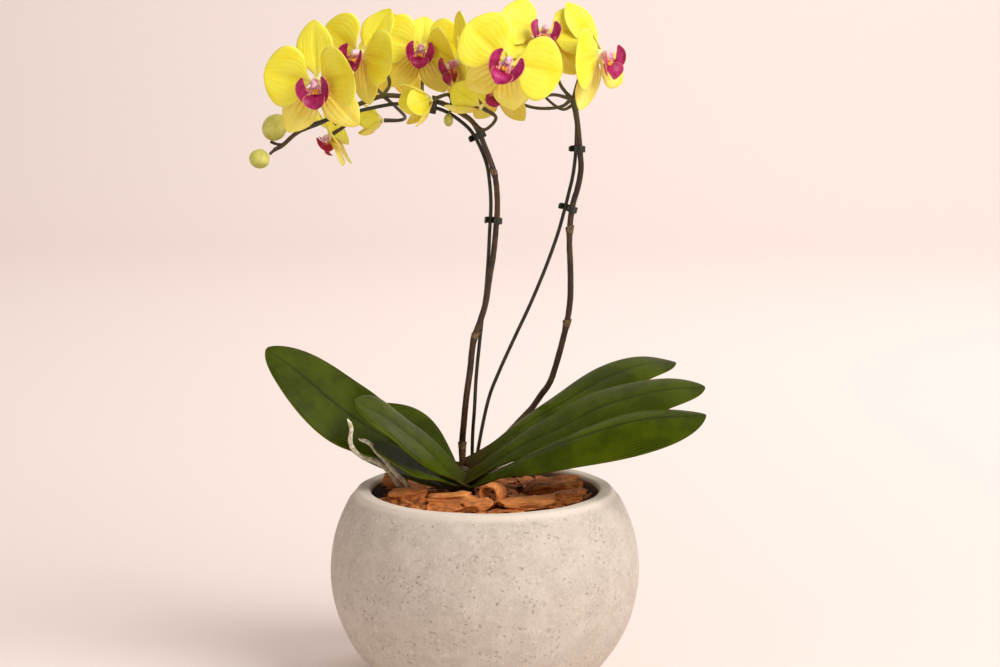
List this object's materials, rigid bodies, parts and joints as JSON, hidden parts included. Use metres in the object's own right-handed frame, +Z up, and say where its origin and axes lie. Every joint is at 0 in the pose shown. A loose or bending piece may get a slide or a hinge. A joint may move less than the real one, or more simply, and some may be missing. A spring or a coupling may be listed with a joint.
{
  "type": "potted orchid",
  "caption": "A yellow moth orchid in a round stone-look bowl pot, with strap leaves, aerial roots in bark, and arching flower spikes clipped to wire stakes",
  "frame": {"origin": "centre of the pot's flat base, on the surface it stands on", "axes": "+Z up, -Y towards the side from which the flowers face the viewer, +X to that viewer's right"},
  "size_m": [0.3602, 0.2504, 0.5562],
  "materials": {
    "cast_stone": "matt cast stone with fine pits and a smoother rim",
    "bark": "rough orange-brown pine bark",
    "leaf": "living leaf, dark green with a waxy gloss",
    "crown": "living leaf sheaths, brown-green and dull",
    "aerial_root": "living root with a dull silvery skin",
    "flower_stem": "living stem, dark brown-purple, satin",
    "coated_wire": "steel wire with a dark green coat",
    "clip_plastic": "dark green moulded plastic",
    "yellow_tepal": "living petal, lemon yellow, soft satin",
    "magenta_lip": "living petal, magenta, satin",
    "bud": "living bud, yellow-green, satin"
  },
  "bodies": {
    "root": {"pot": "cast_stone", "bark_bed": "bark", "bark_chip_01": "bark", "bark_chip_02": "bark", "bark_chip_03": "bark", "bark_chip_04": "bark", "bark_chip_05": "bark", "bark_chip_06": "bark", "bark_chip_07": "bark", "bark_chip_08": "bark", "crown": "crown", "leaf_left_long": "leaf", "leaf_left_front": "leaf", "leaf_left_back": "leaf", "leaf_left_under": "leaf", "leaf_left_lowest": "leaf", "leaf_right_back": "leaf", "leaf_right_middle": "leaf", "leaf_right_front": "leaf", "aerial_root_outer": "aerial_root", "aerial_root_inner": "aerial_root", "stake_left": "coated_wire", "stake_right": "coated_wire", "flower_spike_left": "flower_stem", "flower_spike_right": "flower_stem", "clip_01": "clip_plastic", "clip_02": "clip_plastic", "clip_03": "clip_plastic", "clip_04": "clip_plastic", "clip_05": "clip_plastic", "clip_06": "clip_plastic", "flower_01_tepals": "yellow_tepal", "flower_01_lip": "magenta_lip", "flower_02_tepals": "yellow_tepal", "flower_02_lip": "magenta_lip", "flower_03_tepals": "yellow_tepal", "flower_03_lip": "magenta_lip", "flower_04_tepals": "yellow_tepal", "flower_04_lip": "magenta_lip", "flower_05_tepals": "yellow_tepal", "flower_05_lip": "magenta_lip", "flower_06_tepals": "yellow_tepal", "flower_06_lip": "magenta_lip", "flower_07_tepals": "yellow_tepal", "flower_07_lip": "magenta_lip", "flower_08_tepals": "yellow_tepal", "flower_08_lip": "magenta_lip", "flower_09_tepals": "yellow_tepal", "flower_09_lip": "magenta_lip", "flower_10_tepals": "yellow_tepal", "flower_10_lip": "magenta_lip", "flower_11_tepals": "yellow_tepal", "flower_11_lip": "magenta_lip", "flower_12_tepals": "yellow_tepal", "flower_12_lip": "magenta_lip", "flower_13_tepals": "yellow_tepal", "flower_13_lip": "magenta_lip", "bud_large": "bud", "bud_end": "bud", "bud_small": "bud"}
  },
  "joints": []
}
